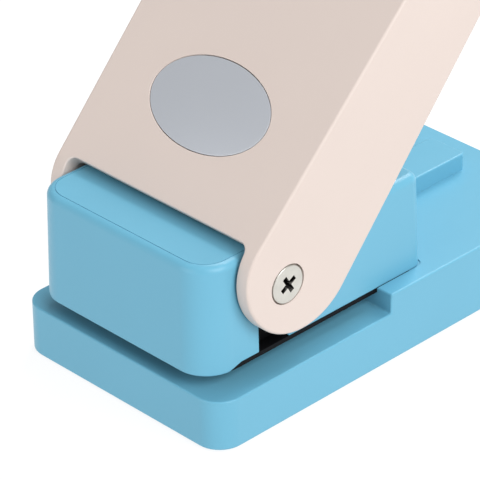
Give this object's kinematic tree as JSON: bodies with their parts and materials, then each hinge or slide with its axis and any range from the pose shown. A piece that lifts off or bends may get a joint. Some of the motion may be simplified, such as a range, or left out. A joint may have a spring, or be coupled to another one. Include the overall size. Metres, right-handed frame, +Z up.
{
  "type": "hole punch",
  "caption": "Compact desk hole punch: press-down lever handle on a boxy head, paper throat in front, slide-out chip tray under the base.",
  "frame": {"origin": "middle of the base's footprint, on the plane that the four feet stand on", "axes": "+X across the punch to its right, +Y from the paper throat at the front to the tray's pull at the rear, +Z up"},
  "size_m": [0.0474, 0.0842, 0.0787],
  "materials": {
    "blue_plastic": "moulded, semi-gloss",
    "cream_plastic": "moulded, satin",
    "silver": "fine satin silver",
    "black_steel": "black coated sheet steel",
    "bright_steel": "ground steel",
    "nickel": "dull nickel plate",
    "brass": "turned",
    "black_rubber": "matt",
    "grey_plastic": "moulded, matt"
  },
  "bodies": {
    "base": {"base_shell": "blue_plastic", "bottom_plate": "blue_plastic", "die_plate": "bright_steel", "steel_frame": "black_steel", "guide_bush": "brass", "front_cover": "blue_plastic", "rear_cover": "blue_plastic", "foot_front_left": "black_rubber", "base_screw_front_left": "nickel", "frame_screw_front_left": "nickel", "frame_nut_front_left": "nickel", "cover_screw_front_left": "nickel", "foot_front_right": "black_rubber", "base_screw_front_right": "nickel", "frame_screw_front_right": "nickel", "frame_nut_front_right": "nickel", "cover_screw_front_right": "nickel", "foot_rear_left": "black_rubber", "base_screw_rear_left": "nickel", "frame_screw_rear_left": "nickel", "frame_nut_rear_left": "nickel", "cover_screw_rear_left": "nickel", "foot_rear_right": "black_rubber", "base_screw_rear_right": "nickel", "frame_screw_rear_right": "nickel", "frame_nut_rear_right": "nickel", "cover_screw_rear_right": "nickel"},
    "handle": {"handle_shell": "cream_plastic", "oval_badge": "silver", "lever_bracket": "black_steel", "press_pin": "bright_steel", "pivot_axle": "bright_steel", "pivot_spacer_left": "grey_plastic", "pivot_screw_left": "nickel", "bracket_screw_left": "nickel", "pivot_spacer_right": "grey_plastic", "pivot_screw_right": "nickel", "bracket_screw_right": "nickel"},
    "punch": {"punch_pin": "bright_steel", "punch_cap": "black_steel", "retaining_clip": "bright_steel", "return_spring": "bright_steel"},
    "tray": {"chip_tray": "grey_plastic"}
  },
  "joints": [
    {"name": "handle_press", "type": "hinge", "parent": "base", "child": "handle", "pos_m": [0, -0.02655, 0.025], "axis": [-1, 0, 0], "range_deg": [0, 40], "stiffness_Nm_per_rad": 0.2, "springref_deg": -11.46},
    {"name": "punch_travel", "type": "slide", "parent": "base", "child": "punch", "axis": [0, 0, -1], "range_m": [0, 0.0074], "deforming": ["return_spring"]},
    {"name": "tray_slide", "type": "slide", "parent": "base", "child": "tray", "axis": [0, 1, 0], "range_m": [0, 0.055]}
  ],
  "couplings": [
    {"joint": "punch_travel", "follows": "handle_press", "m_per_rad": 0.01055}
  ]
}
